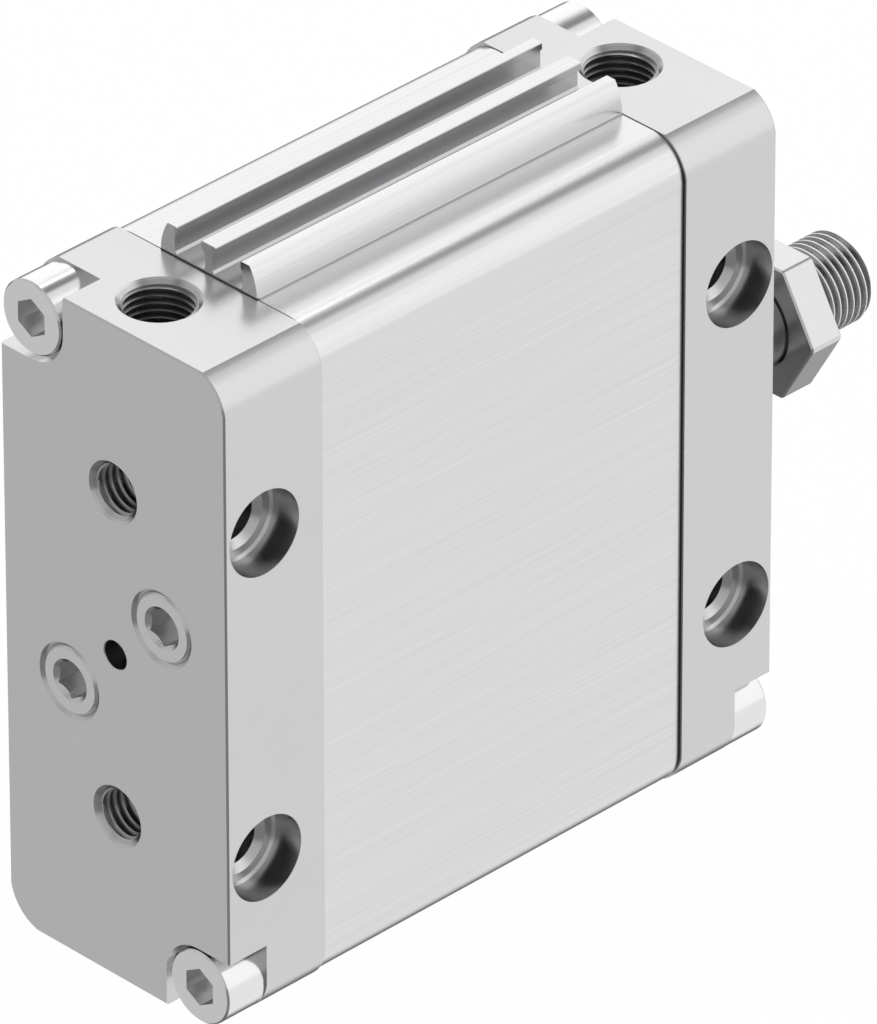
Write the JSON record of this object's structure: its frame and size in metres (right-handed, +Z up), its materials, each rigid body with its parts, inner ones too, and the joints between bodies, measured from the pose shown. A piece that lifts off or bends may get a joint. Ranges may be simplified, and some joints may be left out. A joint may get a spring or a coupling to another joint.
{
  "type": "flat pneumatic cylinder",
  "caption": "Flat double-acting air cylinder with an oblong piston, sensor slots, supply ports, cross and face mounting holes and a threaded rod end with a lock nut.",
  "frame": {"origin": "centre of the rear face, on the piston axis", "axes": "+X along the piston rod and out of the front cap, +Z up towards the supply ports and sensor slots, Y across the flat sides"},
  "size_m": [0.1625, 0.05, 0.1264],
  "materials": {
    "cap_metal": "machined and clear anodised",
    "barrel_metal": "extruded, brushed lengthwise and anodised",
    "screw_steel": "bright zinc plated",
    "plug_steel": "turned, bright zinc plated",
    "rod_steel": "ground shaft with a rolled thread",
    "nut_steel": "bright zinc plated",
    "ring_steel": "phosphated spring steel",
    "piston_metal": "machined",
    "bush_bronze": "bronze with a sliding layer",
    "seal_rubber": "matt elastomer",
    "pad_rubber": "matt polyurethane",
    "guide_plastic": "filled slide plastic",
    "magnet_strip": "rubber-bonded magnet strip"
  },
  "bodies": {
    "cylinder_body": {"rear_cap": "cap_metal", "front_cap": "cap_metal", "barrel": "barrel_metal", "rear_cap_screws": "screw_steel", "front_cap_screws": "screw_steel", "blanking_plugs": "plug_steel", "rear_cap_gasket": "seal_rubber", "front_cap_gasket": "seal_rubber", "bearing_bush": "bush_bronze", "rod_seal": "seal_rubber", "retaining_ring": "ring_steel"},
    "piston_and_rod": {"piston_rod": "rod_steel", "rod_nut": "nut_steel", "piston_rear_half": "piston_metal", "piston_front_half": "piston_metal", "piston_nut": "nut_steel", "piston_seal_rear": "seal_rubber", "piston_seal_front": "seal_rubber", "piston_guide_strip": "guide_plastic", "piston_magnet": "magnet_strip", "piston_rod_oring": "seal_rubber", "rear_cushion_pad": "pad_rubber", "front_cushion_pad": "pad_rubber"}
  },
  "joints": [
    {"name": "rod_slide", "type": "slide", "parent": "cylinder_body", "child": "piston_and_rod", "axis": [1, 0, 0], "range_m": [0, 0.05]}
  ]
}
